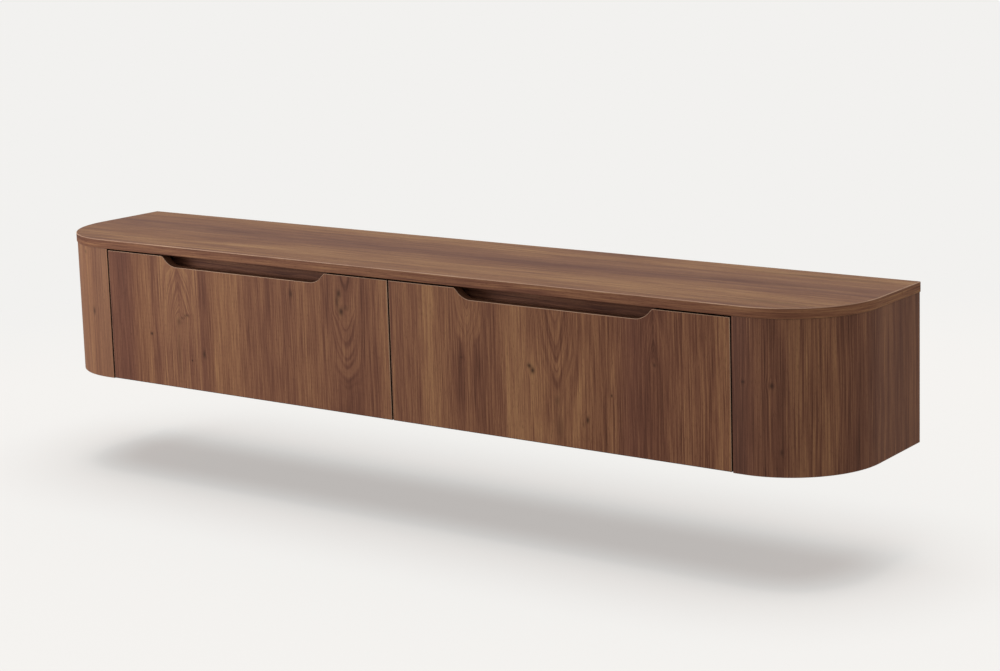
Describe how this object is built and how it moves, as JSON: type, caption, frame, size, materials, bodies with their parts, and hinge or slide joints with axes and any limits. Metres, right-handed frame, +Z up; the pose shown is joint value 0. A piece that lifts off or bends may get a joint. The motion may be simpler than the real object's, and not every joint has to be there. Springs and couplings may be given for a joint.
{
  "type": "floating media console",
  "caption": "Wall-hung low walnut media console with round front corners and two drop-down flaps, each with a wide finger notch in its top edge.",
  "frame": {"origin": "middle of the wall rail's rear face, on the wall plane", "axes": "+X along the wall, to the right seen from the front; +Y into the wall; +Z up"},
  "size_m": [1.8, 0.32, 0.28],
  "materials": {
    "walnut_top": "satin lacquered walnut veneer, grain along the cabinet",
    "walnut": "satin lacquered walnut veneer, upright grain",
    "dark_walnut": "dark walnut veneer inside the case",
    "zinc_steel": "zinc plated",
    "black_plastic": "moulded, fine texture",
    "grey_plastic": "moulded, smooth",
    "magnet": "dark nickel"
  },
  "bodies": {
    "root": {"top_panel": "walnut_top", "bottom_panel": "dark_walnut", "back_panel": "dark_walnut", "left_end_casing": "walnut", "right_end_casing": "walnut", "left_partition": "dark_walnut", "right_partition": "dark_walnut", "centre_divider": "dark_walnut", "left_finger_rail": "dark_walnut", "right_finger_rail": "dark_walnut", "left_hinge_1_carcass_leaf": "zinc_steel", "left_hinge_1_pin": "zinc_steel", "left_hinge_2_carcass_leaf": "zinc_steel", "left_hinge_2_pin": "zinc_steel", "right_hinge_1_carcass_leaf": "zinc_steel", "right_hinge_1_pin": "zinc_steel", "right_hinge_2_carcass_leaf": "zinc_steel", "right_hinge_2_pin": "zinc_steel", "left_stay_plate": "zinc_steel", "right_stay_plate": "zinc_steel", "left_catch_housing": "black_plastic", "right_catch_housing": "black_plastic", "left_catch_magnet": "magnet", "right_catch_magnet": "magnet", "left_cable_grommet": "black_plastic", "right_cable_grommet": "black_plastic", "wall_rail": "zinc_steel", "left_hanger_1_housing": "grey_plastic", "left_hanger_1_hook": "zinc_steel", "left_hanger_1_adjusting_screw": "zinc_steel", "left_hanger_2_housing": "grey_plastic", "left_hanger_2_hook": "zinc_steel", "left_hanger_2_adjusting_screw": "zinc_steel", "right_hanger_1_housing": "grey_plastic", "right_hanger_1_hook": "zinc_steel", "right_hanger_1_adjusting_screw": "zinc_steel", "right_hanger_2_housing": "grey_plastic", "right_hanger_2_hook": "zinc_steel", "right_hanger_2_adjusting_screw": "zinc_steel", "case_screw_left_front": "zinc_steel", "case_screw_left_rear": "zinc_steel", "case_screw_middle_front": "zinc_steel", "case_screw_middle_rear": "zinc_steel", "case_screw_right_front": "zinc_steel", "case_screw_right_rear": "zinc_steel"},
    "left_flap": {"left_flap": "walnut", "left_hinge_1_flap_leaf": "zinc_steel", "left_hinge_2_flap_leaf": "zinc_steel", "left_stay_foot": "zinc_steel", "left_strike_plate": "zinc_steel"},
    "right_flap": {"right_flap": "walnut", "right_hinge_1_flap_leaf": "zinc_steel", "right_hinge_2_flap_leaf": "zinc_steel", "right_stay_foot": "zinc_steel", "right_strike_plate": "zinc_steel"},
    "left_stay_arm": {"left_stay_arm": "zinc_steel"},
    "right_stay_arm": {"right_stay_arm": "zinc_steel"},
    "left_stay_block": {"left_stay_swivel_block": "black_plastic"},
    "right_stay_block": {"right_stay_swivel_block": "black_plastic"}
  },
  "joints": [
    {"name": "left_flap_hinge", "type": "hinge", "parent": "root", "child": "left_flap", "pos_m": [-0.35713, -0.2977, -0.2048], "axis": [1, 0, 0], "range_deg": [0, 90]},
    {"name": "right_flap_hinge", "type": "hinge", "parent": "root", "child": "right_flap", "pos_m": [0.35713, -0.2977, -0.2048], "axis": [1, 0, 0], "range_deg": [0, 90]},
    {"name": "left_stay_arm_pivot", "type": "hinge", "parent": "left_flap", "child": "left_stay_arm", "pos_m": [-0.7045, -0.2905, -0.06485], "axis": [1, 0, 0], "range_deg": [-45, 0]},
    {"name": "right_stay_arm_pivot", "type": "hinge", "parent": "right_flap", "child": "right_stay_arm", "pos_m": [0.7045, -0.2905, -0.06485], "axis": [1, 0, 0], "range_deg": [-45, 0]},
    {"name": "left_stay_block_swivel", "type": "hinge", "parent": "root", "child": "left_stay_block", "pos_m": [-0.7045, -0.22763, -0.08344], "axis": [1, 0, 0], "range_deg": [0, 45]},
    {"name": "right_stay_block_swivel", "type": "hinge", "parent": "root", "child": "right_stay_block", "pos_m": [0.7045, -0.22763, -0.08344], "axis": [1, 0, 0], "range_deg": [0, 45]}
  ],
  "couplings": [
    {"joint": "left_stay_arm_pivot", "follows": "left_flap_hinge", "ratio": -0.5},
    {"joint": "left_stay_block_swivel", "follows": "left_flap_hinge", "ratio": 0.5},
    {"joint": "right_stay_arm_pivot", "follows": "right_flap_hinge", "ratio": -0.5},
    {"joint": "right_stay_block_swivel", "follows": "right_flap_hinge", "ratio": 0.5}
  ]
}
